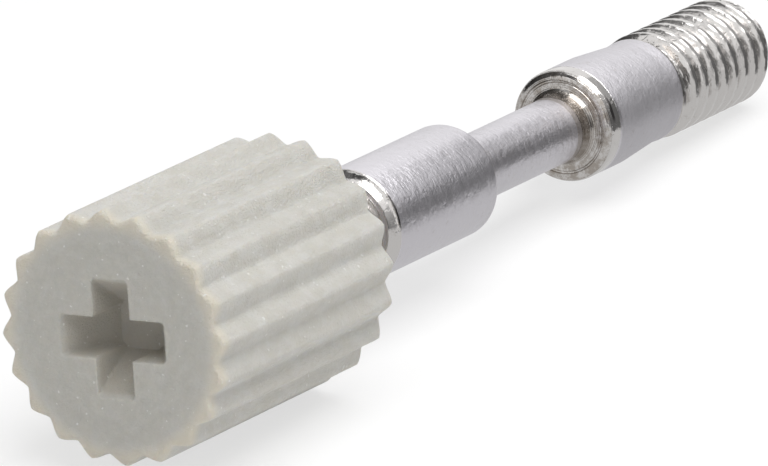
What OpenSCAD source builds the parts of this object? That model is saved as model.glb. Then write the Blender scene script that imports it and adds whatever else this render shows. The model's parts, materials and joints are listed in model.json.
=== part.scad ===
// Captive thumb screw: a ribbed plastic knob moulded onto a turned steel pin.
// The screw is drawn along its own axis from the knob's front face, then laid
// down the way it rests on a table: on two of the knob's ribs and on the rim of
// the threaded end. Millimetres, +X runs from the knob to the threaded end.

/* [Knob] */
// Diameter over the ribs
knob_d = 5.66; // [5.2:0.02:8.4]
// Length of the knob
knob_l = 7.08; // [5.8:0.02:11.6]
// Number of ribs round the knob
ribs = 20; // [14:2:28]
// Height of a rib
rib_h = 0.225; // [0.08:0.005:0.34]
// Rounding of the knob's two end edges
knob_edge_r = 0.17; // [0.04:0.01:0.34]

/* [Cross recess] */
// Length of the recess across two arms, at the face
recess_span = 2.64; // [2.2:0.02:3]
// Length of the recess across two arms, at its floor
recess_floor_span = 1.05; // [0.95:0.01:1.5]
// Width of an arm
recess_w = 0.9; // [0.66:0.02:0.94]
// Depth of the recess
recess_depth = 1.23; // [0.66:0.01:1.66]
// Turn of the cross about the screw's axis
recess_turn = -7; // [-45:1:45]

/* [Moulded-in tang] */
// Plastic left between the recess floor and the tang
web_t = 1.2; // [0.6:0.1:1.6]
// Diameter over the tang's splines
tang_d = 2.1; // [1.9:0.1:2.5]
// Number of splines
splines = 12; // [8:1:16]
// Height of a spline
spline_h = 0.12; // [0.04:0.01:0.16]
// Length of the groove that keeps the knob from pulling off
lock_l = 0.8; // [0.5:0.1:1.2]
// Diameter of that groove
lock_d = 1.5; // [1.2:0.1:1.6]
// Clearance between the moulding and the tang, all round
mould_gap = 0.02; // [0.01:0.01:0.04]

/* [Pin] */
// Diameter of the stem between the knob and the shank
stem_d = 1.84; // [1.5:0.02:2]
// Length of that stem
stem_l = 2.58; // [1.6:0.02:5]
// Diameter of the shank
shank_d = 2.58; // [2.4:0.02:3]
// Length of the shank
shank_l = 4.5; // [2.5:0.1:8]
// Chamfer at the front of the shank
shank_chamfer = 0.22; // [0.08:0.01:0.3]
// Rounding at the back of the shank
shank_back_r = 0.2; // [0.08:0.01:0.4]
// Diameter of the neck
neck_d = 1.52; // [1.26:0.02:1.64]
// Length of the neck
neck_l = 4.88; // [2.5:0.02:8]
// Diameter where the neck flares into the collar's face
flare_d = 1.7; // [1.64:0.02:1.84]
// Length of the flare
flare_l = 0.66; // [0.16:0.02:1.2]

/* [Collar] */
// Diameter of the collar
collar_d = 2.58; // [2.4:0.02:3]
// Length of the collar's full diameter, with its rounded front edge
collar_l = 1.5; // [0.8:0.1:3.3]
// Rounding of the collar's front edge
collar_edge_r = 0.18; // [0.08:0.01:0.34]
// Diameter of the waist between the collar and the thread
waist_d = 2.36; // [2.1:0.02:2.42]
// Length of the taper from the collar to the waist
taper_l = 1.58; // [0.4:0.02:2.5]

/* [Thread] */
// Outside diameter of the thread
thread_d = 2.48; // [2.46:0.01:2.5]
// Length of the rise from the waist to the thread
lead_l = 0.46; // [0.16:0.02:0.84]
// Length of the thread with its end chamfer
thread_l = 4; // [2.5:0.1:10]
// Chamfer at the thread's end
end_chamfer = 0.35; // [0.16:0.01:0.5]

/* [Hidden] */
$fn = 96;
eps = 0.01;
arc_steps = 6;
rib_steps = 8;
// Share of a rib's height with straight flanks; the rest eases its tip and foot
flank_share = 0.6;

// Stations along the screw's axis, from the knob's front face
tang_z = recess_depth + web_t;
stem_z = knob_l;
shank_z = stem_z + stem_l;
neck_z = shank_z + shank_l;
collar_z = neck_z + neck_l;
taper_z = collar_z + collar_l;
waist_z = taper_z + taper_l;
thread_z = waist_z + lead_l;
tip_z = thread_z + thread_l;

// Resting place: the lowest rib pair's back end and the thread's rim touch down
foot_r = knob_d / 2 * cos(180 / ribs);
foot_z = knob_l - knob_edge_r;
rim_r = thread_d / 2;
rim_z = tip_z - end_chamfer;
tilt = atan((foot_r - rim_r) / (rim_z - foot_z));
lift = foot_z * sin(tilt) + foot_r * cos(tilt);
front_x = knob_edge_r * (cos(tilt) - 1) - (foot_r - knob_edge_r) * sin(tilt);
tip_x = tip_z * cos(tilt) + (rim_r - end_chamfer) * sin(tilt);
mid_x = (front_x + tip_x) / 2;

// Points of an arc about [z, r], from angle a0 to angle a1
function arc(centre, radius, a0, a1) = [
    for (i = [0:arc_steps])
        let (a = a0 + (a1 - a0) * i / arc_steps)
            centre + radius * [cos(a), sin(a)]
];

// Height of a rib at a share t of one spacing, from 0 in the valley to 1 at the tip
function rib_rise(t) =
    flank_share * (1 - abs(2 * t - 1)) + (1 - flank_share) * (1 - cos(360 * t)) / 2;

// Outline across the knob, with a valley at angle 0 and a rib on either side
function rib_outline() = [
    for (i = [0:ribs * rib_steps - 1])
        let (
            a = 360 * i / (ribs * rib_steps),
            r = knob_d / 2 - rib_h * (1 - rib_rise((i % rib_steps) / rib_steps))
        )
            r * [cos(a), sin(a)]
];

// Outline across the splines, widened all round by a clearance
function spline_outline(gap) = [
    for (i = [0:2 * splines - 1])
        let (a = 180 * i / splines, r = tang_d / 2 - (i % 2) * spline_h + gap)
            r * [cos(a), sin(a)]
];

// Side view of the knob's envelope as [z, r] points
function knob_profile() = concat(
    [[0, 0]],
    arc([knob_edge_r, knob_d / 2 - knob_edge_r], knob_edge_r, 180, 90),
    arc([knob_l - knob_edge_r, knob_d / 2 - knob_edge_r], knob_edge_r, 90, 0),
    [[knob_l, 0]]
);

// Side view of the pin as [z, r] points, from the tang's core to the tip
function pin_profile() = concat(
    [
        [tang_z, 0],
        [tang_z, lock_d / 2],
        [stem_z, lock_d / 2],
        [stem_z, stem_d / 2],
        [shank_z, stem_d / 2],
        [shank_z, shank_d / 2 - shank_chamfer],
        [shank_z + shank_chamfer, shank_d / 2]
    ],
    arc([neck_z - shank_back_r, shank_d / 2 - shank_back_r], shank_back_r, 90, 0),
    [
        [neck_z, neck_d / 2],
        [collar_z - flare_l, neck_d / 2],
        [collar_z, flare_d / 2]
    ],
    arc([collar_z + collar_edge_r, collar_d / 2 - collar_edge_r], collar_edge_r, 180, 90),
    [
        [taper_z, collar_d / 2],
        [waist_z, waist_d / 2],
        [thread_z, thread_d / 2],
        [rim_z, rim_r],
        [tip_z, rim_r - end_chamfer],
        [tip_z, 0]
    ]
);

// Turns a list of [z, r] points about the screw's axis
module turned(profile) {
    rotate_extrude()
        polygon([for (p = profile) [p[1], p[0]]]);
}

// One slot of the cross: a bar whose ends slope in towards its floor
module recess_arm() {
    rotate([90, 0, 0])
        translate([0, 0, -recess_w / 2])
            linear_extrude(recess_w)
                polygon([
                    [-recess_span / 2, 0],
                    [recess_span / 2, 0],
                    [recess_floor_span / 2, recess_depth],
                    [-recess_floor_span / 2, recess_depth]
                ]);
}

// The cross recess, run a little way out of the face so that it cuts clean
module recess() {
    for (a = [0, 90])
        rotate([0, 0, recess_turn + a]) {
            recess_arm();
            translate([-recess_span / 2, -recess_w / 2, -eps])
                cube([recess_span, recess_w, eps]);
        }
}

// The splined tang with its locking groove; the gap widens it for the cavity
module tang(gap) {
    length = knob_l - tang_z;
    land = (length - lock_l) / 2;
    translate([0, 0, tang_z - gap])
        linear_extrude(land + 2 * gap)
            polygon(spline_outline(gap));
    translate([0, 0, tang_z - gap])
        cylinder(d = lock_d + 2 * gap, h = length + gap);
    translate([0, 0, tang_z + land + lock_l - gap])
        linear_extrude(land + gap)
            polygon(spline_outline(gap));
}

// Lays the screw down where it rests, with its bounding box centred on X
module laid_down() {
    translate([-mid_x, 0, lift])
        rotate([0, 90 + tilt, 0])
            children();
}

// Ribbed knob with the cross recess in front and the tang's cavity behind
module knob() {
    color([0.76, 0.75, 0.71])
        laid_down()
            difference() {
                intersection() {
                    linear_extrude(knob_l)
                        polygon(rib_outline());
                    turned(knob_profile());
                }
                recess();
                tang(mould_gap);
                translate([0, 0, knob_l - eps])
                    linear_extrude(2 * eps)
                        polygon(spline_outline(mould_gap));
            }
}

// Turned pin: tang, stem, shank, neck, collar, waist and threaded end
module threaded_pin() {
    color([0.70, 0.70, 0.72])
        laid_down() {
            tang(0);
            turned(pin_profile());
        }
}

knob();
threaded_pin();
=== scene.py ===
"""Looks of a captive thumb screw: a ribbed plastic knob moulded onto a turned steel pin.

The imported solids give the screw's place and its thread's size. This script models the
knob and the pin again with their fine forms, dresses them, and sets up the studio and
the camera. Sizes are in millimetres along the screw's own axis, from the knob's front
face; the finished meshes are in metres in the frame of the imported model.
"""
import functools
import json
import logging
import math
from dataclasses import dataclass
from enum import Enum
from typing import Callable, Optional, Union

import bmesh
import bpy
from mathutils import Euler, Matrix, Vector


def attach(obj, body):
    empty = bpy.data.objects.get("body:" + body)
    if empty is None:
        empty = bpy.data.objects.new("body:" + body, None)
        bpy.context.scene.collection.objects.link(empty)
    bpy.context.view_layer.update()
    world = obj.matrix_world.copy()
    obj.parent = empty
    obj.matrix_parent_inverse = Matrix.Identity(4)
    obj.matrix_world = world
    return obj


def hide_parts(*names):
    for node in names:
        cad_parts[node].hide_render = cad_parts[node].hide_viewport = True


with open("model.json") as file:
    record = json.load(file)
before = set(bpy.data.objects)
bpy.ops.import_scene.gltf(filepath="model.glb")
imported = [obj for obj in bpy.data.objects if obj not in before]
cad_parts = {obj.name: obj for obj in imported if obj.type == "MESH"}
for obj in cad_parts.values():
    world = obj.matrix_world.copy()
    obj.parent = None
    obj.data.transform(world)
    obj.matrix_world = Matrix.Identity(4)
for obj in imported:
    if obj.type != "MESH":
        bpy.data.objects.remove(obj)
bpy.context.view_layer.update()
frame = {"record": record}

LOG = logging.getLogger("thumb_screw")
WHITE = (1.0, 1.0, 1.0)
# One millimetre, in the frame's metres
MM = 0.001
# Points this close together, in millimetres, are merged
MERGED = 1e-5
# Sizes this close together, in millimetres, are taken for equal
NEAR = 1e-3
# A skew way, along which no two points of a turned or ribbed shape are level
SKEW = (1.0, 0.6180339, 0.3247180)

Colour = tuple[float, float, float]
Place = tuple[float, float, float]
Point = tuple[float, float]
Pair = tuple[float, float]
Number = Union[float, "Value"]
Tint = Union[Colour, "Value"]


class Maths(Enum):
    """Operations of a Math node."""

    ADD = "ADD"
    SUBTRACT = "SUBTRACT"
    MULTIPLY = "MULTIPLY"
    MAXIMUM = "MAXIMUM"
    ARCTAN2 = "ARCTAN2"


# Geometry


@dataclass(frozen=True)
class ScrewAxis:
    """The screw's own axis: its origin on the knob's face, and +Z towards the thread.

    Attributes:
        origin: Centre of the knob's front face, in metres.
        along: Unit vector from the knob to the threaded end.
    """

    origin: Vector
    along: Vector

    @classmethod
    def from_mounts(cls, mounts: dict[str, dict]) -> "ScrewAxis":
        """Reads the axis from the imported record's mounts.

        Args:
            mounts: The mounts by name.

        Returns:
            The axis on which both pieces are built.
        """
        origin = Vector(mounts["drive_recess"]["pos_m"])
        return cls(origin, Vector(mounts["thread"]["axis"]).normalized())

    def turn(self) -> Euler:
        """Rotation from the screw's own axes to the frame's."""
        return Euler((0.0, math.atan2(self.along.x, self.along.z), 0.0))

    def matrix(self) -> Matrix:
        """Transform from millimetres on the screw's axes to metres in the frame."""
        place = Matrix.Translation(self.origin) @ self.turn().to_matrix().to_4x4()
        return place @ Matrix.Scale(MM, 4)


@dataclass(frozen=True)
class Arc:
    """A quarter arc in a side view, from one point to the next.

    Attributes:
        start: First point as station and radius.
        end: Last point as station and radius.
        bulges: True where the arc is rounded outwards.
        steps: Number of straight pieces.
    """

    start: Point
    end: Point
    bulges: bool = True
    steps: int = 5

    def points(self) -> list[Point]:
        """Works out the points of the arc.

        Returns:
            The points in order, with both ends.
        """
        rising = self.end[1] > self.start[1]
        swap = rising == self.bulges
        found = []
        for i in range(self.steps + 1):
            quarter = math.pi / 2 * i / self.steps
            share, rest = math.sin(quarter), 1 - math.cos(quarter)
            along, out = (rest, share) if swap else (share, rest)
            found.append((
                self.start[0] + (self.end[0] - self.start[0]) * along,
                self.start[1] + (self.end[1] - self.start[1]) * out,
            ))
        return found


def smooth_step(low: float, high: float, value: float) -> float:
    """Rises smoothly from 0 at low to 1 at high."""
    share = min(1.0, max(0.0, (value - low) / (high - low)))
    return share * share * (3 - 2 * share)


def rank(place: Vector) -> float:
    """How far a place lies along the skew way, in full precision."""
    return sum(part * share for part, share in zip(place, SKEW))


def in_order(mesh: bmesh.types.BMesh) -> None:
    """Sorts points, edges and faces, whose order the operators change from run to run.

    Args:
        mesh: The shape, in any units.
    """
    mesh.verts.sort(key=lambda vert: rank(vert.co))
    mesh.edges.sort(key=lambda edge: rank(edge.verts[0].co) + rank(edge.verts[1].co))
    mesh.faces.sort(key=lambda face: rank(face.calc_center_median()))


def finished(mesh: bmesh.types.BMesh, name: str) -> bpy.types.Object:
    """Turns a bmesh into a linked object and frees it.

    Args:
        mesh: The shape, in millimetres on the screw's axes.
        name: Name of the new object and mesh.

    Returns:
        The new object.
    """
    in_order(mesh)
    data = bpy.data.meshes.new(name)
    mesh.to_mesh(data)
    mesh.free()
    made = bpy.data.objects.new(name, data)
    bpy.context.scene.collection.objects.link(made)
    return made


def closed(mesh: bmesh.types.BMesh) -> None:
    """Merges doubled points and turns every face outwards."""
    bmesh.ops.remove_doubles(mesh, verts=mesh.verts, dist=MERGED)
    bmesh.ops.recalc_face_normals(mesh, faces=mesh.faces)


def cut(blank: bpy.types.Object, tools: list[bpy.types.Object]) -> bmesh.types.BMesh:
    """Cuts tools out of a blank and removes them all.

    Args:
        blank: The solid that is cut.
        tools: Closed solids to take away from it.

    Returns:
        The cut shape.
    """
    for tool in tools:
        away = blank.modifiers.new(tool.name, "BOOLEAN")
        away.operation = "DIFFERENCE"
        away.solver = "EXACT"
        away.object = tool
    depsgraph = bpy.context.evaluated_depsgraph_get()
    shape = bmesh.new()
    shape.from_mesh(blank.evaluated_get(depsgraph).to_mesh())
    for used in [blank, *tools]:
        bpy.data.objects.remove(used)
    return shape


def extruded_outline(
    mesh: bmesh.types.BMesh,
    radius: Callable[[float], float],
    segments: int,
    rings: list[Point],
) -> None:
    """Draws an outline round the axis and extrudes it through a list of rings.

    Args:
        mesh: The bmesh that gets the closed solid.
        radius: Gives the outline's radius at an angle.
        segments: Number of points round the outline.
        rings: Each ring's station and how far it lies inside the outline.
    """
    made = bmesh.ops.create_circle(mesh, cap_ends=True, segments=segments, radius=1.0)
    outline = [vert.co.to_2d().normalized() for vert in made["verts"]]
    reach = [radius(math.atan2(way.y, way.x)) for way in outline]

    def place(verts: list[bmesh.types.BMVert], ring: Point) -> None:
        """Moves one ring of points to its station and inset.

        Args:
            verts: The ring's points, in any order.
            ring: Its station and how far it lies inside the outline.
        """
        for vert in verts:
            way = vert.co.to_2d().normalized()
            index = min(range(segments), key=lambda i: (outline[i] - way).length_squared)
            vert.co = (*(outline[index] * (reach[index] - ring[1])), ring[0])

    place(made["verts"], rings[0])
    cap = mesh.faces[:]
    # The first cap closes the solid's end; a later one would be a wall inside it
    for number, ring in enumerate(rings[1:]):
        grown = bmesh.ops.extrude_face_region(mesh, geom=cap)["geom"]
        if number > 0:
            bmesh.ops.delete(mesh, geom=cap, context="FACES_ONLY")
        cap = [item for item in grown if isinstance(item, bmesh.types.BMFace)]
        place([item for item in grown if isinstance(item, bmesh.types.BMVert)], ring)
    closed(mesh)


# Knob


@dataclass(frozen=True)
class Recess:
    """The cross recess in the knob's face.

    Attributes:
        span: Length across two arms, at the face.
        floor_span: Length across two arms, at the floor.
        width: Width of an arm.
        depth: Depth of the recess.
        turn: Turn of the cross about the axis, in degrees.
        corner: Rounding of the outer corners of the arms.
        lip: Rounding of the recess's edge on the face, and where the arms meet.
        above: How far the cutter stands out of the face.
        fold: Least fold of an edge that is rounded, in degrees.
        shortest: Least length of an upright edge that is rounded.
        steps: Steps of each rounding.
    """

    span: float = 2.64
    floor_span: float = 1.05
    width: float = 0.9
    depth: float = 1.23
    turn: float = -7.0
    corner: float = 0.09
    lip: float = 0.05
    above: float = 0.2
    fold: float = 30.0
    shortest: float = 0.1
    steps: int = 3

    def arm(self, quarter: int) -> bpy.types.Object:
        """Models one slot of the cross, with sloping ends and rounded corners.

        Args:
            quarter: Number of quarter turns about the axis.

        Returns:
            The cutter, in millimetres on the screw's axes.
        """
        shape = bmesh.new()
        bmesh.ops.create_cube(shape, size=1.0)
        slope = (self.span - self.floor_span) / 2 / self.depth
        for vert in shape.verts:
            station = self.depth if vert.co.z > 0 else -self.above
            half = self.span / 2 - slope * station
            vert.co = (math.copysign(half, vert.co.x), self.width * vert.co.y, station)
        ends = [
            edge for edge in shape.edges
            if abs(edge.verts[0].co.z - edge.verts[1].co.z) > self.depth / 2
        ]
        bmesh.ops.bevel(
            shape, geom=ends, offset=self.corner, affect="EDGES", segments=self.steps,
            profile=0.5, material=-1,
        )
        spin = Matrix.Rotation(math.radians(self.turn + 90 * quarter), 4, "Z")
        shape.transform(spin)
        bmesh.ops.recalc_face_normals(shape, faces=shape.faces)
        return finished(shape, f"recess_arm_{quarter}")

    def soften(self, shape: bmesh.types.BMesh) -> None:
        """Rounds the recess's edge on the face and the corners where the arms meet.

        Args:
            shape: The cut knob, in millimetres on the screw's axes.
        """
        limit = self.span / 2 + self.lip
        inner = self.width / math.sqrt(2)

        def on_lip(vert: bmesh.types.BMVert) -> bool:
            """True for a point of the recess's edge on the knob's face."""
            return abs(vert.co.z) < NEAR and vert.co.to_2d().length < limit

        def at_corner(vert: bmesh.types.BMVert) -> bool:
            """True for a point where two arms meet."""
            return abs(vert.co.to_2d().length - inner) < NEAR and vert.co.z < self.depth - NEAR

        def folded(edge: bmesh.types.BMEdge) -> bool:
            """True for an edge where two faces meet at an angle."""
            return len(edge.link_faces) == 2 and edge.calc_face_angle(0.0) >= math.radians(self.fold)

        def upright(edge: bmesh.types.BMEdge) -> bool:
            """True for a long edge that runs along the axis."""
            run = edge.verts[0].co - edge.verts[1].co
            return abs(run.z) > self.shortest and run.to_2d().length < NEAR

        chosen = [
            edge for edge in shape.edges
            if folded(edge) and (
                all(on_lip(vert) for vert in edge.verts)
                or (upright(edge) and any(at_corner(vert) for vert in edge.verts))
            )
        ]
        bmesh.ops.bevel(
            shape, geom=chosen, offset=self.lip, affect="EDGES", segments=self.steps,
            profile=0.5, material=-1, clamp_overlap=True,
        )


@dataclass(frozen=True)
class Tang:
    """The splined tang that the knob is moulded round.

    Attributes:
        start: Station of its front end.
        end: Station of its back end, flush with the knob's.
        diameter: Diameter over the splines.
        splines: Number of splines.
        spline_height: Height of a spline.
        lock_length: Length of the locking groove.
        lock_diameter: Diameter of the locking groove.
        clearance: Clearance of the moulding all round.
    """

    start: float = 2.43
    end: float = 7.08
    diameter: float = 2.1
    splines: int = 12
    spline_height: float = 0.12
    lock_length: float = 0.8
    lock_diameter: float = 1.5
    clearance: float = 0.02

    def lock(self) -> Pair:
        """Stations between which the locking groove lies."""
        land = (self.end - self.start - self.lock_length) / 2
        return self.start + land, self.end - land

    def spline_radius(self, angle: float) -> float:
        """Radius of the splined land at an angle."""
        share = angle / (2 * math.pi) * self.splines % 1.0
        return self.diameter / 2 - self.spline_height * (1 - abs(2 * share - 1))

    def cavity(self, past: float = 0.1) -> bpy.types.Object:
        """Models the space that the moulding leaves for the tang.

        Args:
            past: How far the cutter stands out of the knob's back.

        Returns:
            The cutter, in millimetres on the screw's axes.
        """
        gap = self.clearance
        front, back = self.lock()
        step = self.diameter / 2 - self.lock_diameter / 2
        shape = bmesh.new()
        extruded_outline(
            shape, lambda angle: self.spline_radius(angle) + gap, 4 * self.splines,
            [
                (self.start - gap, 0.0), (front + gap, 0.0), (front + gap, step),
                (back - gap, step), (back - gap, 0.0), (self.end + past, 0.0),
            ],
        )
        return finished(shape, "tang_cavity")


@dataclass(frozen=True)
class Knob:
    """The moulded knob.

    Attributes:
        diameter: Diameter over the ribs.
        length: Length of the knob.
        ribs: Number of ribs.
        rib_height: Height of a rib.
        flank: Share of a rib's height that is straight flank.
        edges: Rounding of the front and of the back edge, which follows the ribs.
        rib_points: Points round each rib.
        edge_steps: Steps of the end rounding.
        crease: Least fold of an edge that is shaded sharp, in degrees.
    """

    diameter: float = 5.648
    length: float = 7.08
    ribs: int = 20
    rib_height: float = 0.225
    flank: float = 0.5
    edges: Pair = (0.14, 0.12)
    rib_points: int = 16
    edge_steps: int = 5
    crease: float = 38.0

    def radius(self, angle: float) -> float:
        """Works out the ribbed outline, which has a valley at angle 0.

        Args:
            angle: Angle about the axis, in radians.

        Returns:
            The outline's radius there.
        """
        share = angle / (2 * math.pi) * self.ribs % 1.0
        straight = 1 - abs(2 * share - 1)
        eased = (1 - math.cos(2 * math.pi * share)) / 2
        rise = self.flank * straight + (1 - self.flank) * eased
        return self.diameter / 2 - self.rib_height * (1 - rise)

    def rings(self) -> list[Point]:
        """Lists the knob's rings, with both rounded edges.

        Returns:
            Each ring's station and how far it lies inside the outline.
        """
        front, back = (
            [(station, -inset) for station, inset in
             Arc((0.0, -edge), (edge, 0.0), steps=self.edge_steps).points()]
            for edge in self.edges
        )
        return front + [(self.length - station, inset) for station, inset in reversed(back)]

    def build(self, axis: ScrewAxis, recess: Recess, tang: Tang) -> bpy.types.Object:
        """Models the knob and lays it down in the frame.

        Args:
            axis: The screw's axis.
            recess: The cross recess in its face.
            tang: The tang that it is moulded round.

        Returns:
            The finished piece.
        """
        blank = bmesh.new()
        extruded_outline(blank, self.radius, self.ribs * self.rib_points, self.rings())
        tools = [recess.arm(0), recess.arm(1), tang.cavity()]
        shape = cut(finished(blank, "knob_blank"), tools)
        bmesh.ops.remove_doubles(shape, verts=shape.verts, dist=MERGED)
        recess.soften(shape)
        shape.transform(axis.matrix())
        piece = finished(shape, "ribbed_knob")
        piece.data.shade_smooth()
        piece.data.set_sharp_from_angle(angle=math.radians(self.crease))
        weigh = piece.modifiers.new("flat_faces", "WEIGHTED_NORMAL")
        weigh.keep_sharp = True
        return piece


# Pin


@dataclass(frozen=True)
class Thread:
    """The right-hand thread at the pin's end.

    Attributes:
        radius: Outside radius.
        pitch: Advance in one turn.
        depth: Depth of the groove.
        crest: Share of the pitch that the flat crest takes.
        root: Share of the pitch that the round root takes.
        rounding: Share of the flank's depth that is rounded off.
        start: Station at which the groove runs out.
        start_angle: Angle round the axis at which it runs out, in degrees.
        run_out: Turns over which the groove gets its full depth.
    """

    radius: float
    pitch: float = 0.45
    depth: float = 0.23
    crest: float = 0.28
    root: float = 0.16
    rounding: float = 0.35
    start: float = 22.355
    start_angle: float = 270.0
    run_out: float = 0.45

    def groove(self, station: float, angle: float) -> float:
        """Depth of the groove at a station and an angle round the axis.

        Args:
            station: Distance from the knob's face.
            angle: Angle about the axis, in radians.

        Returns:
            The depth below the outside radius.
        """
        turn = (angle - math.radians(self.start_angle)) / (2 * math.pi) % 1.0
        place = (station - self.start) / self.pitch - turn
        count = round(place)
        off_centre = abs(place - count)
        growth = smooth_step(0.0, self.run_out, count + turn)
        edge = (1 - self.crest) / 2
        flank = smooth_step(edge, self.root / 2, off_centre) if off_centre < edge else 0.0
        straight = max(0.0, min(1.0, (edge - off_centre) / (edge - self.root / 2)))
        shape = self.rounding * flank + (1 - self.rounding) * straight
        return self.depth * growth * shape


@dataclass(frozen=True)
class Pin:
    """The turned steel pin.

    Attributes:
        thread: The thread at its end.
        tang: The tang inside the knob.
        stem_radius: Radius of the stem behind the knob.
        shank: Stations of the shank's two ends.
        shank_radius: Radius of the shank.
        chamfer: Chamfer at the shank's front.
        shank_back: Rounding at the shank's back.
        rim: Small rounding of the chamfer's edges and of the groove's front edge.
        neck_radius: Radius of the neck.
        bead: Small rounding in the corners at the neck's front and at the collar's face.
        flare: Station at which the neck starts to flare.
        flare_radius: Radius at which the flare meets the collar's face.
        collar: Stations of the collar's face and of its full diameter's end.
        collar_radius: Radius of the collar.
        collar_edge: Rounding of the collar's front edge.
        face_line: Depth of the fine tool line inside that edge.
        line_places: Its start and its floor's two ends, in depths inside that edge.
        waist: Station and radius of the waist.
        waist_land: Length of the waist's narrowest stretch.
        relief: Stations of the groove between the waist and the thread.
        relief_lip: How far the groove's front edge stands out of the waist.
        relief_depth: Depth of that groove.
        relief_curve: Length of the curve down to its floor.
        rings_from: Distance from its front edge to the first closely spaced ring.
        rise: How far before and past its end the thread rises to its full size.
        tip: Station of the end face.
        nose: Length and height of the rounded end.
        segments: Points round the pin.
        rings_per_pitch: Rings that carry the thread's groove, in one pitch.
        crease: Least fold of an edge that is shaded sharp, in degrees.
    """

    thread: Thread
    tang: Tang
    stem_radius: float = 0.92
    shank: Pair = (9.66, 14.16)
    shank_radius: float = 1.29
    chamfer: float = 0.19
    shank_back: float = 0.2
    rim: float = 0.02
    neck_radius: float = 0.76
    bead: float = 0.03
    flare: float = 18.38
    flare_radius: float = 0.85
    collar: Pair = (19.04, 20.54)
    collar_radius: float = 1.29
    collar_edge: float = 0.2
    face_line: float = 0.03
    line_places: tuple[float, float, float] = (2.5, 1.8, 0.8)
    waist: Point = (22.12, 1.18)
    waist_land: float = 0.1
    relief: Pair = (22.48, 22.74)
    relief_lip: float = 0.02
    relief_depth: float = 0.1
    relief_curve: float = 0.07
    rings_from: float = 0.09
    rise: Pair = (0.12, 0.06)
    tip: float = 26.578
    nose: Pair = (0.37, 0.35)
    segments: int = 192
    rings_per_pitch: int = 20
    crease: float = 40.0

    def hidden_outline(self) -> list[Point]:
        """Draws the side view of the tang and the stem.

        Returns:
            Stations and radii, from the axis to the shank's front face.
        """
        front, back = self.tang.lock()
        land, core = self.tang.diameter / 2, self.tang.lock_diameter / 2
        return [
            (self.tang.start, 0.0), (self.tang.start, land), (front, land),
            (front, core), (back, core), (back, land),
            (self.tang.end, land), (self.tang.end, self.stem_radius),
            (self.shank[0], self.stem_radius),
        ]

    def shank_outline(self) -> list[Point]:
        """Draws the side view of the shank.

        Returns:
            Stations and radii, from the shank's front face to the neck.
        """
        front, back = self.shank
        full, chamfer, round_back = self.shank_radius, self.chamfer, self.shank_back
        neck, rim, bead = self.neck_radius, self.rim, self.bead
        return [
            *Arc((front, full - chamfer - rim), (front + rim, full - chamfer), steps=2).points(),
            *Arc(
                (front + chamfer - rim / 2, full - rim), (front + chamfer + rim, full), steps=4,
            ).points(),
            *Arc((back - round_back, full), (back, full - round_back), steps=6).points(),
            *Arc((back, neck + bead), (back + bead, neck), bulges=False, steps=3).points(),
        ]

    def collar_outline(self) -> list[Point]:
        """Draws the side view of the flare, the collar and the waist.

        Returns:
            Stations and radii, from the neck to the floor of the groove before the thread.
        """
        face, full = self.collar
        waist, low = self.waist
        bead, line, flared = self.bead, self.face_line, self.flare_radius
        inside = self.collar_radius - self.collar_edge
        start, middle, end = (inside - place * line for place in self.line_places)
        edge_station, edge_radius = self.relief[0], low + self.relief_lip
        return [
            *Arc((self.flare, self.neck_radius), (face - bead, flared), bulges=False, steps=10).points(),
            *Arc((face - bead, flared), (face, flared + bead), bulges=False, steps=3).points(),
            (face, start), (face + line, middle), (face + line, end),
            *Arc((face, inside), (face + self.collar_edge, self.collar_radius), steps=8).points(),
            (full, self.collar_radius), (waist - self.waist_land, low), (waist, low),
            (edge_station - self.rim, edge_radius),
            *Arc(
                (edge_station, edge_radius - self.rim),
                (edge_station + self.relief_curve, edge_radius - self.relief_depth),
                bulges=False, steps=4,
            ).points(),
        ]

    def threaded_outline(self) -> list[Point]:
        """Draws the side view of the threaded end, with closely spaced rings for the thread.

        Returns:
            Stations and radii, from the groove before the thread to the axis.
        """
        full = self.thread.radius
        low = self.waist[1] + self.relief_lip - self.relief_depth
        first, last = self.relief[0] + self.rings_from, self.tip - self.nose[0]
        rings = round((last - first) / self.thread.pitch * self.rings_per_pitch)
        before, past = self.rise
        points = []
        for i in range(rings + 1):
            station = first + (last - first) * i / rings
            share = smooth_step(self.relief[1] - before, self.relief[1] + past, station)
            points.append((station, low + (full - low) * share))
        nose = Arc((last, full), (self.tip, full - self.nose[1]), steps=14).points()
        return points + nose[1:] + [(self.tip, 0.0)]

    def blank(self) -> bmesh.types.BMesh:
        """Spins the side view about the axis.

        Returns:
            The closed blank, without splines or thread.
        """
        shape = bmesh.new()
        outline = [
            *self.hidden_outline(), *self.shank_outline(),
            *self.collar_outline(), *self.threaded_outline(),
        ]
        verts = [shape.verts.new((radius, 0.0, station)) for station, radius in outline]
        edges = [shape.edges.new(pair) for pair in zip(verts, verts[1:])]
        bmesh.ops.spin(
            shape, geom=verts + edges, cent=(0, 0, 0), axis=(0, 0, 1), dvec=(0, 0, 0),
            angle=2 * math.pi, steps=self.segments, use_merge=True,
        )
        closed(shape)
        return shape

    def carve(self, shape: bmesh.types.BMesh) -> None:
        """Presses the splines and the thread's groove into the blank.

        Args:
            shape: The blank, in millimetres on the screw's axes.
        """
        tang = self.tang
        for vert in shape.verts:
            radius = vert.co.to_2d().length
            if radius < NEAR:
                continue
            station, angle = vert.co.z, math.atan2(vert.co.y, vert.co.x)
            target = radius
            if station <= tang.end + NEAR and radius > tang.diameter / 2 - NEAR:
                target = tang.spline_radius(angle)
            elif station > self.relief[0]:
                bottom = self.thread.radius - self.thread.groove(station, angle)
                target = min(radius, bottom)
            vert.co.x *= target / radius
            vert.co.y *= target / radius

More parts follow.
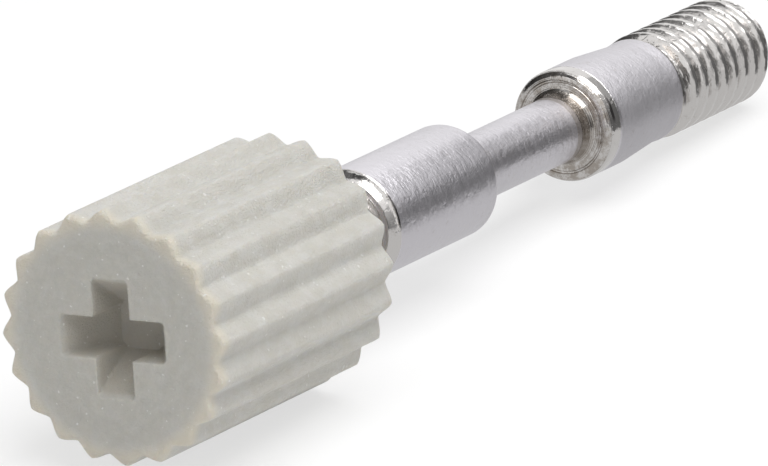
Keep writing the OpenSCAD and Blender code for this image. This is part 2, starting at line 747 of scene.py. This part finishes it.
    def build(self, axis: ScrewAxis) -> bpy.types.Object:
        """Models the pin and lays it down in the frame.

        Args:
            axis: The screw's axis.

        Returns:
            The finished piece.
        """
        shape = self.blank()
        self.carve(shape)
        shape.transform(axis.matrix())
        piece = finished(shape, "turned_pin")
        piece.data.shade_smooth()
        piece.data.set_sharp_from_angle(angle=math.radians(self.crease))
        return piece


# Materials


@dataclass(frozen=True)
class Value:
    """A shader socket that takes part in arithmetic.

    Attributes:
        shader: The material or world that holds it.
        socket: The output socket.
    """

    shader: "Shader"
    socket: bpy.types.NodeSocket

    def maths(self, operation: Maths, first: Number, second: Number) -> "Value":
        """Adds one Math node.

        Args:
            operation: What it works out.
            first: Its first number or link.
            second: Its second number or link.

        Returns:
            The node's output.
        """
        made = self.shader.node(
            "ShaderNodeMath", {"operation": operation.value}, {0: first, 1: second},
        )
        return made.output("Value")

    def __add__(self, other: Number) -> "Value":
        """Sum with a socket or a number."""
        return self.maths(Maths.ADD, self, other)

    def __radd__(self, other: Number) -> "Value":
        """Sum with a number on the left."""
        return self.maths(Maths.ADD, other, self)

    def __sub__(self, other: Number) -> "Value":
        """Difference from a socket or a number."""
        return self.maths(Maths.SUBTRACT, self, other)

    def __rsub__(self, other: Number) -> "Value":
        """Difference from a number on the left."""
        return self.maths(Maths.SUBTRACT, other, self)

    def __mul__(self, other: Number) -> "Value":
        """Product with a socket or a number."""
        return self.maths(Maths.MULTIPLY, self, other)

    def __rmul__(self, other: Number) -> "Value":
        """Product with a number on the left."""
        return self.maths(Maths.MULTIPLY, other, self)

    def largest(self, other: Number) -> "Value":
        """The larger of this and another value."""
        return self.maths(Maths.MAXIMUM, self, other)


@dataclass(frozen=True)
class Pattern:
    """A fractal noise on the screw's own axes.

    Attributes:
        scale: How many times it changes in about a millimetre.
        detail: Number of its finer layers.
        weight: Weight of those layers.
        stretch: Factor on each axis, or nothing where it is even.
    """

    scale: float
    detail: float
    weight: float
    stretch: Optional[Place] = None


@dataclass(frozen=True)
class Made:
    """A node that has been made.

    Attributes:
        shader: The material or world that holds it.
        node: The node.
    """

    shader: "Shader"
    node: bpy.types.Node

    def output(self, name: Union[str, int]) -> Value:
        """One of the node's outputs, by name or index."""
        return Value(self.shader, self.node.outputs[name])


class Shader:
    """Builds the node tree of a material or a world."""

    MIX_FIRST = 6
    MIX_SECOND = 7
    MIX_RESULT = 2
    RINGS = 16.0

    def __init__(self, owner: Union[bpy.types.Material, bpy.types.World]) -> None:
        """Empties the owner's node tree.

        Args:
            owner: The material or world to build.
        """
        owner.use_nodes = True
        self.tree = owner.node_tree
        self.tree.nodes.clear()

    def node(self, kind: str, settings: dict[str, object], inputs: dict) -> Made:
        """Adds one node.

        Args:
            kind: The node's type.
            settings: Its settings, with "stops" for a ramp's positions and greys.
            inputs: Values or links of its sockets, by name or index.

        Returns:
            The new node.
        """
        node = self.tree.nodes.new(kind)
        for name, setting in settings.items():
            if name == "stops":
                elements = node.color_ramp.elements
                while len(elements) < len(setting):
                    elements.new(1.0)
                for element, (position, grey) in zip(elements, setting):
                    element.position = position
                    element.color = (grey, grey, grey, 1.0)
            else:
                setattr(node, name, setting)
        for name, given in inputs.items():
            if isinstance(given, Value):
                self.tree.links.new(given.socket, node.inputs[name])
            elif isinstance(given, tuple) and node.inputs[name].type == "RGBA":
                node.inputs[name].default_value = (*given, 1.0)
            else:
                node.inputs[name].default_value = given
        return Made(self, node)

    def mix(self, factor: Number, first: Tint, second: Tint) -> Value:
        """Mixes two colours.

        Args:
            factor: Share of the second colour.
            first: Colour or link.
            second: Colour or link.

        Returns:
            The mixed colour.
        """
        made = self.node(
            "ShaderNodeMix", {"data_type": "RGBA", "blend_type": "MIX"},
            {0: factor, self.MIX_FIRST: first, self.MIX_SECOND: second},
        )
        return made.output(self.MIX_RESULT)

    def noise(self, vector: Value, pattern: Pattern) -> Value:
        """Adds a fractal noise from 0 to 1.

        Args:
            vector: Place on the screw's axes.
            pattern: The noise's scale, layers and stretch.

        Returns:
            The noise at that place.
        """
        if pattern.stretch:
            vector = self.stretched(vector, pattern.stretch)
        made = self.node("ShaderNodeTexNoise", {}, {
            "Vector": vector, "Scale": pattern.scale, "Detail": pattern.detail,
            "Roughness": pattern.weight,
        })
        return made.output(0)

    def step(self, value: Value, low: float, high: float) -> Value:
        """Adds a smooth rise from 0 to 1.

        Args:
            value: What it follows.
            low: Where it starts.
            high: Where it ends.

        Returns:
            The rise.
        """
        made = self.node(
            "ShaderNodeMapRange", {"interpolation_type": "SMOOTHSTEP"},
            {"Value": value, "From Min": low, "From Max": high},
        )
        return made.output(0)

    def band(self, value: Value, low: float, high: float, soft: float) -> Value:
        """1 between low and high, with soft ends outside."""
        return self.step(value, low - soft, low) - self.step(value, high, high + soft)

    def bands(self, value: Value, zones: tuple[Pair, ...], soft: float) -> Value:
        """1 in any of several stretches, with soft ends outside."""
        inside = [self.band(value, low, high, soft) for low, high in zones]
        return functools.reduce(Value.largest, inside)

    def on_axis(self, axis: ScrewAxis) -> Value:
        """Places patterns on the screw.

        Args:
            axis: The screw's axis.

        Returns:
            Object coordinates in millimetres on the screw's own axes.
        """
        place = self.node("ShaderNodeTexCoord", {}, {}).output("Object")
        made = self.node(
            "ShaderNodeMapping", {"vector_type": "TEXTURE"},
            {
                "Vector": place, "Location": tuple(axis.origin),
                "Rotation": tuple(axis.turn()), "Scale": (MM, MM, MM),
            },
        )
        return made.output(0)

    def stretched(self, vector: Value, scale: Place) -> Value:
        """A vector with each axis scaled by its own factor."""
        made = self.node("ShaderNodeVectorMath", {"operation": "MULTIPLY"}, {0: vector, 1: scale})
        return made.output(0)

    def parts(self, vector: Value) -> tuple[Value, Value]:
        """Splits a place on the screw's axes.

        Args:
            vector: The place.

        Returns:
            Its distance from the axis, and its station along it.
        """
        made = self.node("ShaderNodeSeparateXYZ", {}, {0: vector})
        flat = self.stretched(vector, (1.0, 1.0, 0.0))
        length = self.node("ShaderNodeVectorMath", {"operation": "LENGTH"}, {0: flat})
        return length.output("Value"), made.output(2)

    def angle(self, vector: Value) -> Value:
        """Works out the way from the axis to a place.

        Args:
            vector: The place on the screw's axes.

        Returns:
            The angle in degrees, 0 at the top and rising towards the frame's -Y.
        """
        made = self.node("ShaderNodeSeparateXYZ", {}, {0: vector})
        side, top = 0.0 - made.output(1), 0.0 - made.output(0)
        return side.maths(Maths.ARCTAN2, side, top) * math.degrees(1.0)

    def radial(self, reach: Value) -> Value:
        """A vector that changes quickly with the distance from the axis."""
        made = self.node("ShaderNodeCombineXYZ", {}, {0: reach * self.RINGS})
        return made.output(0)

    def bump(
        self, height: Value, depth: float, strength: float, under: Optional[Value] = None,
    ) -> Value:
        """Bends the normal by a height field.

        Args:
            height: Height from 0 to 1.
            depth: Height of 1 in millimetres.
            strength: Strength of the effect.
            under: A normal on which it lies.

        Returns:
            The bent normal.
        """
        inputs = {"Height": height, "Distance": depth * MM, "Strength": strength}
        if under is not None:
            inputs["Normal"] = under
        return self.node("ShaderNodeBump", {}, inputs).output(0)

    def surface(self, inputs: dict) -> None:
        """Ends the tree in a Principled surface.

        Args:
            inputs: Values or links of its sockets, by name.
        """
        body = self.node("ShaderNodeBsdfPrincipled", {}, inputs)
        self.node("ShaderNodeOutputMaterial", {}, {"Surface": body.output(0)})


@dataclass(frozen=True)
class MouldedPlastic:
    """Warm light grey moulded plastic, matt with a fine grain and faint clouds.

    Ranges of a noise are those over which its effect sets in. A bump is a depth in
    millimetres and a strength.

    Attributes:
        colour: Main colour.
        cloud: Darker colour of its faint clouds.
        painted_edge_glow: Warmer, lighter colour at the thin front edge: painted glow of light that
            shines through the thin plastic.
        painted_glints: Colour of the sparse painted glints: bright specks that stand in for highlights
            on the grain.
        painted_face_shade: Slightly darker colour of the face: painted shade, as the face gets less
            light than the ribs.
        painted_recess_shade: Darker brownish colour painted inside the recess: painted shade.
        clouds: Noise of the clouds.
        streaks: Noise of the marks along the knob.
        grain: Noise of the moulded grain.
        fine: Noise of the finest grain.
        face_shade_breakup: Noise that breaks up the face's painted shade.
        glint_specks: Noise of the painted glints.
        cloud_mix: Shares of the clouds' and the streaks' noise in the main colour.
        cloud_range: Range of that mixed noise.
        face_shade_breakup_range: Range of the breakup's noise.
        glint_speck_range: Range of that noise.
        glint_speck_share: Share of the glint colour in a speck.
        face_depth: Station at which the painted shade of the face ends.
        face_reach: Distances from the axis over which it ends.
        face_shares: Least share of its colour, and how much the breakup adds.
        rim_depth: Station at which the painted glow of the front edge ends.
        rim_reach: Distances from the axis over which it begins.
        rim_share: Share of its colour.
        hollow_depth: Stations over which the recess's painted shade begins.
        hollow_reach: Distances from the axis over which it ends.
        hollow_shares: Least share of its colour, and how much the clouds add.
        roughness: Middle roughness.
        roughness_swing: How far the grain's noise moves it.
        cloud_bump: Bump of the clouds.
        streak_bump: Bump of the streaks.
        grain_bump: Bump of the grain.
        fine_bump: Bump of the finest grain.
        glow: Share of the light that spreads below the surface.
        glow_colours: How far each colour spreads, against the reach.
        glow_reach: How far it spreads, in millimetres.
        ior: Index of refraction.
        specular: Level of the plain shine.
    """

    colour: Colour = (0.672, 0.66, 0.622)
    cloud: Colour = (0.617, 0.6, 0.55)
    painted_edge_glow: Colour = (0.775, 0.72, 0.60)
    painted_glints: Colour = (0.93, 0.93, 0.91)
    painted_face_shade: Colour = (0.545, 0.535, 0.49)
    painted_recess_shade: Colour = (0.51, 0.475, 0.41)
    clouds: Pattern = Pattern(2.2, 4.0, 0.6)
    streaks: Pattern = Pattern(5.0, 4.0, 0.7, (1.0, 1.0, 0.35))
    grain: Pattern = Pattern(17.0, 3.0, 0.7)
    fine: Pattern = Pattern(60.0, 2.0, 0.6)
    face_shade_breakup: Pattern = Pattern(4.5, 5.0, 0.75)
    glint_specks: Pattern = Pattern(8.0, 1.0, 0.5)
    cloud_mix: Pair = (0.6, 0.4)
    cloud_range: Pair = (0.4, 0.62)
    face_shade_breakup_range: Pair = (0.35, 0.65)
    glint_speck_range: Pair = (0.7, 0.78)
    glint_speck_share: float = 0.6
    face_depth: float = 0.15
    face_reach: Pair = (2.0, 2.65)
    face_shares: Pair = (0.33, 0.55)
    rim_depth: float = 0.4
    rim_reach: Pair = (2.3, 2.65)
    rim_share: float = 0.68
    hollow_depth: Pair = (0.02, 0.2)
    hollow_reach: Pair = (1.33, 1.38)
    hollow_shares: Pair = (0.45, 0.4)
    roughness: float = 0.34
    roughness_swing: float = 0.3
    cloud_bump: Pair = (0.06, 0.5)
    streak_bump: Pair = (0.06, 0.6)
    grain_bump: Pair = (0.07, 0.85)
    fine_bump: Pair = (0.011, 0.6)
    glow: float = 0.25
    glow_colours: Place = (1.0, 0.72, 0.42)
    glow_reach: float = 0.22
    ior: float = 1.5
    specular: float = 0.45

    def material(self, axis: ScrewAxis) -> bpy.types.Material:
        """Builds the plastic.

        Args:
            axis: The screw's axis, on which its patterns lie.

        Returns:
            The material.
        """
        made = bpy.data.materials.new("moulded_plastic")
        shader = Shader(made)
        place = shader.on_axis(axis)
        reach, station = shader.parts(place)
        clouds, streaks = shader.noise(place, self.clouds), shader.noise(place, self.streaks)
        grain, fine = shader.noise(place, self.grain), shader.noise(place, self.fine)
        cloudy = clouds * self.cloud_mix[0] + streaks * self.cloud_mix[1]
        base = shader.mix(shader.step(cloudy, *self.cloud_range), self.cloud, self.colour)

        # Painted shade: the face is darkened in patches, as it gets less light than the ribs.
        face_shade_patches = shader.step(shader.noise(place, self.face_shade_breakup), *self.face_shade_breakup_range)
        face = 1 - shader.step(station, 0.0, self.face_depth)
        face = face * (1 - shader.step(reach, *self.face_reach))
        share = self.face_shares[0] + face_shade_patches * self.face_shares[1]
        base = shader.mix(face * share, base, self.painted_face_shade)

        # Painted light: the thin front edge is painted warmer and lighter, as if lit through.
        rim = shader.step(reach, *self.rim_reach)
        rim = rim * (1 - shader.step(station, 0.0, self.rim_depth))
        base = shader.mix(rim * self.rim_share, base, self.painted_edge_glow)

        # Painted shade: the recess is darkened below the face, with the clouds in it.
        hollow = shader.step(station, *self.hollow_depth)
        hollow = hollow * (1 - shader.step(reach, *self.hollow_reach))
        share = self.hollow_shares[0] + clouds * self.hollow_shares[1]
        base = shader.mix(hollow * share, base, self.painted_recess_shade)

        # Painted highlight: sparse bright specks stand in for glints on the grain.
        glint_specks = shader.step(shader.noise(place, self.glint_specks), *self.glint_speck_range)
        base = shader.mix(glint_specks * self.glint_speck_share, base, self.painted_glints)

        normal = shader.bump(clouds, *self.cloud_bump)
        normal = shader.bump(streaks, *self.streak_bump, normal)
        normal = shader.bump(grain, *self.grain_bump, normal)
        normal = shader.bump(fine, *self.fine_bump, normal)
        shader.surface({
            "Base Color": base, "Normal": normal,
            "Roughness": self.roughness + (grain - 0.5) * self.roughness_swing,
            "Subsurface Weight": self.glow, "Subsurface Radius": self.glow_colours,
            "Subsurface Scale": self.glow_reach * MM, "IOR": self.ior,
            "Specular IOR Level": self.specular,
        })
        return made


@dataclass(frozen=True)
class TurnedSteel:
    """Plated steel: satin with feed marks, and bright where it was formed or chamfered.

    Stretches are pairs of first and last stations. A bump is a depth in millimetres
    and a strength.

    Attributes:
        satin: Colour of the satin stretches.
        bright: Colour of the bright stretches.
        dirt_and_shade: Colour of the faint dirt, of the darkened flare and of the painted shade in the
            groove before the thread.
        shade_and_reflection_colour: Colour of the painted shade and painted reflection on one side of
            the pin's edges, its groove and its burr.
        satin_roughness: Roughness of the satin stretches.
        bright_roughness: Roughness of the bright stretches.
        least_roughness: Least roughness anywhere.
        roughness_swing: How far the flecks' noise moves the roughness.
        zones: Bright stretches.
        zone_soft: Length over which they fade.
        wander: Noise by which edges of stretches wander, also a faint waviness.
        wander_reach: How far they wander.
        matt: Duller satin stretch of the collar and the waist.
        matt_soft: Length over which it fades.
        matt_colour: Its colour.
        matt_haze: How much rougher it is than the other satin stretches.
        threaded: Stretch of the thread, which has small dents.
        thread_soft: Length over which it fades.
        thread_haze: How much rougher it is than the other bright stretches.
        darkened_stretches: Stretches darkened towards that colour: the flare, and the groove before the
            thread, where it is painted shade.
        darkened_soft: Length over which they fade.
        darkened_share: Share of that colour in them.
        turned: The two faces with turning rings: the collar's and the end's.
        turned_soft: Length over which they fade.
        dirt: Noise of the dirt all over.
        dirt_range: Range of that noise over which it sets in.
        dirt_share: Share of the dirt's colour in it.
        smears: Noise of the dirt on the collar's face.
        smear_range: Range of that noise over which it sets in.
        smear_share: Share of the dirt's colour in it.
        shade_and_reflection_spots: Painted dark reflections on the chamfer's and the collar's edges,
            painted shade in the groove before the thread, and painted shade for the burr's notch, which
            isn't modelled, as stations and as angles.
        shade_and_reflection_softs: Length and degrees over which they fade.
        shade_and_reflection_share: Share of their colour in them.
        calm: How much flatter the bright stretches are than the satin.
        feed: Noise of the feed marks.
        flecks: Noise of the satin's flecks.
        pits: Noise of the small pits.
        pit_range: Range of that noise over which they set in.
        dents: Noise of the thread's dents.
        rings: Noise of the turning rings.
        feed_bump: Bump of the feed marks.
        dent_bump: Bump of the thread's dents.
        ring_bump: Bump of the turning rings.
        wave_bump: Bump of the waviness.
        fleck_bump: Bump of the flecks.
        pit_bump: Bump of the pits.
    """

    satin: Colour = (0.70, 0.68, 0.715)
    bright: Colour = (0.69, 0.67, 0.655)
    dirt_and_shade: Colour = (0.36, 0.32, 0.28)
    shade_and_reflection_colour: Colour = (0.1, 0.09, 0.09)
    satin_roughness: float = 0.34
    bright_roughness: float = 0.13
    least_roughness: float = 0.05
    roughness_swing: float = 0.25
    zones: tuple[Pair, ...] = ((9.5, 9.88), (18.68, 19.45), (22.44, 26.45))
    zone_soft: float = 0.035
    wander: Pattern = Pattern(3.0, 3.0, 0.6)
    wander_reach: float = 0.06
    matt: Pair = (19.6, 22.36)
    matt_soft: float = 0.1
    matt_colour: Colour = (0.61, 0.595, 0.622)
    matt_haze: float = 0.2
    threaded: Pair = (22.9, 26.3)
    thread_soft: float = 0.1
    thread_haze: float = 0.1
    darkened_stretches: tuple[Pair, ...] = ((18.5, 19.0), (22.46, 22.57))
    darkened_soft: float = 0.03
    darkened_share: float = 0.62
    turned: tuple[Pair, ...] = ((18.96, 19.12), (26.54, 30.0))
    turned_soft: float = 0.02
    dirt: Pattern = Pattern(5.0, 4.0, 0.7)
    dirt_range: Pair = (0.58, 0.75)
    dirt_share: float = 0.3
    smears: Pattern = Pattern(4.0, 4.0, 0.75)
    smear_range: Pair = (0.35, 0.62)
    smear_share: float = 0.85
    shade_and_reflection_spots: tuple[tuple[Pair, Pair], ...] = (
        ((9.85, 9.89), (46.0, 74.0)),
        ((19.2, 19.27), (54.0, 70.0)),
        ((22.52, 22.59), (42.0, 88.0)),
        ((22.58, 22.68), (86.0, 93.0)),
    )
    shade_and_reflection_softs: Pair = (0.02, 9.0)
    shade_and_reflection_share: float = 0.85
    calm: float = 0.75
    feed: Pattern = Pattern(1.0, 2.0, 0.7, (0.5, 0.5, 11.0))
    flecks: Pattern = Pattern(1.0, 3.0, 0.7, (3.4, 3.4, 10.0))
    pits: Pattern = Pattern(10.0, 1.0, 0.5)
    pit_range: Pair = (0.3, 0.45)
    dents: Pattern = Pattern(3.2, 0.6, 0.5)
    rings: Pattern = Pattern(1.0, 2.0, 0.7)
    feed_bump: Pair = (0.003, 1.0)
    dent_bump: Pair = (0.05, 0.8)
    ring_bump: Pair = (0.02, 1.0)
    wave_bump: Pair = (0.024, 0.8)
    fleck_bump: Pair = (0.017, 0.8)
    pit_bump: Pair = (0.004, 0.5)

    def material(self, axis: ScrewAxis) -> bpy.types.Material:
        """Builds the steel.

        Args:
            axis: The screw's axis, on which its patterns lie.

        Returns:
            The material.
        """
        made = bpy.data.materials.new("turned_steel")
        shader = Shader(made)
        place = shader.on_axis(axis)
        reach, station = shader.parts(place)
        wander = shader.noise(place, self.wander)
        where = station + (wander - 0.5) * self.wander_reach
        bright = shader.bands(where, self.zones, self.zone_soft)
        matt = shader.band(where, *self.matt, self.matt_soft)
        thread = shader.band(station, *self.threaded, self.thread_soft)
        base = shader.mix(matt, self.satin, self.matt_colour)
        base = shader.mix(bright, base, self.bright)

        dirt = shader.step(shader.noise(place, self.dirt), *self.dirt_range)
        # Painted shade in the groove before the thread; the flare is darkened with it.
        darkened = shader.bands(station, self.darkened_stretches, self.darkened_soft)
        smear = shader.step(shader.noise(place, self.smears), *self.smear_range)
        smear = smear * shader.band(where, *self.turned[0], self.turned_soft)
        dirt_and_shade_mask = (dirt * self.dirt_share).largest(darkened * self.darkened_share)
        base = shader.mix(dirt_and_shade_mask.largest(smear * self.smear_share), base, self.dirt_and_shade)

        # Painted reflection and painted shade: dark marks on one side of the chamfer's and the collar's
        # edges, of the groove before the thread and of the burr.
        angle = shader.angle(place)
        dark = functools.reduce(Value.largest, [
            shader.band(where, *stations, self.shade_and_reflection_softs[0])
            * shader.band(angle, *angles, self.shade_and_reflection_softs[1])
            for stations, angles in self.shade_and_reflection_spots
        ])
        base = shader.mix(dark * self.shade_and_reflection_share, base, self.shade_and_reflection_colour)

        flecks = shader.noise(place, self.flecks)
        rough = self.satin_roughness + (flecks - 0.5) * self.roughness_swing
        rough = rough + bright * (self.bright_roughness - self.satin_roughness)
        rough = rough + thread * self.thread_haze + matt * self.matt_haze

        dull = 1 - bright * self.calm
        face = shader.bands(station, self.turned, self.turned_soft)
        rings = shader.noise(shader.radial(reach), self.rings)
        pits = shader.step(shader.noise(place, self.pits), *self.pit_range)
        normal = shader.bump(shader.noise(place, self.feed) * dull, *self.feed_bump)
        normal = shader.bump(shader.noise(place, self.dents) * thread, *self.dent_bump, normal)
        normal = shader.bump(rings * face, *self.ring_bump, normal)
        normal = shader.bump(wander * dull, *self.wave_bump, normal)
        normal = shader.bump(flecks * dull, *self.fleck_bump, normal)
        normal = shader.bump(pits, *self.pit_bump, normal)
        shader.surface({
            "Base Color": base, "Metallic": 1.0, "Normal": normal,
            "Roughness": rough.largest(self.least_roughness),
        })
        return made


# Studio


@dataclass(frozen=True)
class Card:
    """A dark or grey card that only reflections show.

    Attributes:
        name: Name of the card.
        azimuth: Way from the screw to the card, in degrees from +X.
        distances: Distance of its foot and of its top from the origin, in millimetres.
        widths: Width of its foot and of its top, in millimetres.
        heights: Height of its foot and of its top, in millimetres.
        greys: Grey at its foot and at its top.
    """

    name: str
    azimuth: float
    distances: Pair
    widths: Pair
    heights: Pair
    greys: Pair

    def material(self) -> bpy.types.Material:
        """Builds the card's grey, which changes from its foot to its top.

        Returns:
            The material.
        """
        made = bpy.data.materials.new(self.name)
        shader = Shader(made)
        point = shader.node("ShaderNodeTexCoord", {}, {}).output("Object")
        rise = shader.node("ShaderNodeSeparateXYZ", {}, {0: point}).output(2)
        share = shader.step(rise, self.heights[0] * MM, self.heights[1] * MM)
        foot, top = ((grey, grey, grey) for grey in self.greys)
        grey = shader.mix(share, foot, top)
        glow = shader.node("ShaderNodeEmission", {}, {"Color": grey, "Strength": 1.0})
        shader.node("ShaderNodeOutputMaterial", {}, {"Surface": glow.output(0)})
        made.cycles.emission_sampling = "NONE"
        return made

    def build(self) -> bpy.types.Object:
        """Models the card and hides it from all rays but those of reflections.

        Returns:
            The card.
        """
        shape = bmesh.new()
        bmesh.ops.create_grid(shape, x_segments=1, y_segments=1, size=0.5)
        for vert in shape.verts:
            end = int(vert.co.y > 0)
            vert.co = (self.distances[end], vert.co.x * self.widths[end], self.heights[end])
        turn = Matrix.Rotation(math.radians(self.azimuth), 4, "Z")
        shape.transform(Matrix.Scale(MM, 4) @ turn)
        card = finished(shape, self.name)
        card.data.materials.append(self.material())
        card.visible_camera = False
        card.visible_diffuse = False
        card.visible_transmission = False
        card.visible_shadow = False
        card.visible_volume_scatter = False
        return card


@dataclass(frozen=True)
class Softbox:
    """A rectangular soft light that faces a point near the screw.

    Attributes:
        name: Name of the light.
        middle: Its middle, in millimetres.
        size: Its two sides, in millimetres.
        aim: Where it faces, in millimetres.
        radiance: Its brightness, where 1 shows as white.
        gloss: True where reflections show it.
    """

    name: str
    middle: Place
    size: Pair
    aim: Place
    radiance: float
    gloss: bool = True

    def build(self) -> bpy.types.Object:
        """Makes the area lamp.

        Returns:
            The lamp's object.
        """
        lamp = bpy.data.lights.new(self.name, "AREA")
        lamp.shape = "RECTANGLE"
        lamp.size, lamp.size_y = self.size[0] * MM, self.size[1] * MM
        lamp.energy = self.radiance * math.pi * lamp.size * lamp.size_y
        made = bpy.data.objects.new(self.name, lamp)
        made.location = Vector(self.middle) * MM
        way = Vector(self.aim) - Vector(self.middle)
        made.rotation_euler = way.to_track_quat("-Z", "Y").to_euler()
        bpy.context.scene.collection.objects.link(made)
        made.visible_camera = False
        made.visible_glossy = self.gloss
        return made


@dataclass(frozen=True)
class Studio:
    """The pale floor, the white surroundings, the lights and the cards.

    Attributes:
        floor_size: Side of the floor, in millimetres.
        floor_colour: Colour of the floor.
        veil: Share of plain white in the floor that the camera sees.
        ambient: Brightness of the surroundings on matt surfaces.
        lights: The soft lights.
        cards: The dark cards.
    """

    floor_size: float
    floor_colour: Colour
    veil: float
    ambient: float
    lights: tuple[Softbox, ...]
    cards: tuple[Card, ...]

    @staticmethod
    def direct_rays(shader: Shader) -> Value:
        """1 for the rays of the camera, also through clear things."""
        path = shader.node("ShaderNodeLightPath", {}, {})
        return path.output("Is Camera Ray").largest(path.output("Is Transmission Ray"))

    @staticmethod
    def backdrop_rays(shader: Shader) -> Value:
        """1 for rays that show the backdrop: camera, glossy and transmission rays."""
        mirrored = shader.node("ShaderNodeLightPath", {}, {}).output("Is Glossy Ray")
        return Studio.direct_rays(shader).largest(mirrored)

    def floor(self) -> bpy.types.Object:
        """Makes the floor, which keeps the screw's shadow.

        Returns:
            The floor.
        """
        shape = bmesh.new()
        bmesh.ops.create_grid(
            shape, x_segments=1, y_segments=1, size=self.floor_size * MM / 2,
        )
        made = bpy.data.materials.new("floor")
        shader = Shader(made)
        matt = shader.node("ShaderNodeBsdfDiffuse", {}, {"Color": self.floor_colour})
        white = shader.node("ShaderNodeEmission", {}, {"Color": WHITE, "Strength": 1.0})
        share = self.direct_rays(shader) * self.veil
        both = shader.node(
            "ShaderNodeMixShader", {}, {0: share, 1: matt.output(0), 2: white.output(0)},
        )
        shader.node("ShaderNodeOutputMaterial", {}, {"Surface": both.output(0)})
        made.cycles.emission_sampling = "NONE"
        ground = finished(shape, "floor")
        ground.data.materials.append(made)
        return ground

    def surroundings(self) -> bpy.types.World:
        """Makes the world: white where it is seen, and gentler on matt surfaces.

        Returns:
            The world.
        """
        world = bpy.data.worlds.new("studio")
        bpy.context.scene.world = world
        shader = Shader(world)
        dim = shader.node("ShaderNodeBackground", {}, {"Color": WHITE, "Strength": self.ambient})
        white = shader.node("ShaderNodeBackground", {}, {"Color": WHITE, "Strength": 1.0})
        seen = self.backdrop_rays(shader)
        both = shader.node(
            "ShaderNodeMixShader", {}, {0: seen, 1: dim.output(0), 2: white.output(0)},
        )
        shader.node("ShaderNodeOutputWorld", {}, {"Surface": both.output(0)})
        world.cycles.sampling_method = "NONE"
        return world

    def build(self) -> None:
        """Builds the whole studio."""
        self.floor()
        self.surroundings()
        for item in (*self.lights, *self.cards):
            item.build()


@dataclass(frozen=True)
class CameraStand:
    """The camera, far away with a long lens.

    Attributes:
        aim: The point in the middle of the picture, in millimetres.
        azimuth: Azimuth of the view in degrees, where 0 looks along +Y.
        elevation: Height of the camera above the horizon, in degrees.
        distance: Distance from the aim, in millimetres.
        lens: Focal length, in millimetres.
        sensor: Width of the sensor, in millimetres.
        clip: Nearest and farthest distance that it sees, in millimetres.
    """

    aim: Place
    azimuth: float
    elevation: float
    distance: float
    lens: float
    sensor: float = 36.0
    clip: Pair = (10.0, 5000.0)

    def build(self) -> bpy.types.Object:
        """Places the camera and makes it the scene's.

        Returns:
            The camera's object.
        """
        turn, rise = math.radians(self.azimuth), math.radians(self.elevation)
        back = Vector((
            math.sin(turn) * math.cos(rise), -math.cos(turn) * math.cos(rise), math.sin(rise),
        ))
        data = bpy.data.cameras.new("camera")
        data.sensor_width = self.sensor
        data.lens = self.lens
        data.clip_start, data.clip_end = self.clip[0] * MM, self.clip[1] * MM
        made = bpy.data.objects.new("camera", data)
        made.location = (Vector(self.aim) + back * self.distance) * MM
        made.rotation_euler = (-back).to_track_quat("-Z", "Y").to_euler()
        bpy.context.scene.collection.objects.link(made)
        bpy.context.scene.camera = made
        return made


STUDIO = Studio(
    floor_size=4000.0,
    floor_colour=(0.93, 0.93, 0.93),
    veil=0.65,
    ambient=0.26,
    lights=(
        Softbox("overhead", (-5.0, -50.0, 200.0), (290.0, 160.0), (0.0, 0.0, 0.0), 3.35),
        Softbox("rear", (60.0, 260.0, 170.0), (300.0, 200.0), (0.0, 0.0, 0.0), 0.8, False),
        Softbox("fill", (60.0, -260.0, 45.0), (300.0, 80.0), (0.0, 0.0, 0.0), 0.9, False),
    ),
    cards=(
        Card("floor_card", 0.0, (-90.0, 90.0), (180.0, 180.0), (0.01, 0.01), (0.66, 0.66)),
        Card("side_card", -36.0, (13.0, 150.0), (20.0, 84.0), (0.02, 52.0), (0.14, 0.1)),
        Card("grey_card", -14.0, (160.0, 160.0), (112.0, 112.0), (46.0, 165.0), (0.4, 0.64)),
        Card("end_card", 2.0, (170.0, 170.0), (86.0, 86.0), (0.0, 40.0), (0.12, 0.3)),
        Card("low_card", -78.0, (150.0, 150.0), (150.0, 150.0), (0.0, 175.0), (0.1, 0.5)),
        Card("rear_card", 97.0, (60.0, 60.0), (104.0, 104.0), (3.0, 110.0), (0.04, 0.2)),
        Card("high_card", 139.0, (130.0, 130.0), (150.0, 150.0), (115.0, 290.0), (0.05, 0.1)),
        Card("front_card", -124.0, (150.0, 150.0), (109.0, 109.0), (0.0, 90.0), (0.25, 0.55)),
    ),
)
CAMERA = CameraStand(
    aim=(-2.3012, -0.2372, 2.0950), azimuth=-59.124, elevation=21.806,
    distance=328.133, lens=703.125,
)


def dress(piece: bpy.types.Object, node: str, finish: bpy.types.Material) -> None:
    """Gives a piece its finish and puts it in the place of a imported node.

    Args:
        piece: The finished piece.
        node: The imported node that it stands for.
        finish: Its material.
    """
    piece.data.materials.clear()
    piece.data.materials.append(finish)
    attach(piece, "root")
    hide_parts(node)
    faces = sum(len(polygon.vertices) - 2 for polygon in piece.data.polygons)
    LOG.info("%s stands for %s, %d triangles", piece.name, node, faces)


def main() -> None:
    """Builds the screw, the studio and the camera."""
    logging.basicConfig(level=logging.INFO, format="%(name)s: %(message)s")
    mounts = {mount["name"]: mount for mount in frame["record"]["mounts"]}
    axis = ScrewAxis.from_mounts(mounts)
    tang = Tang()
    knob = Knob().build(axis, Recess(), tang)
    dress(knob, "knob", MouldedPlastic().material(axis))
    pin = Pin(Thread(mounts["thread"]["dims"]["r_mm"]), tang).build(axis)
    dress(pin, "threaded_pin", TurnedSteel().material(axis))
    STUDIO.build()
    CAMERA.build()
    bpy.context.scene.view_settings.view_transform = "Standard"


if __name__ == "__main__":
    main()
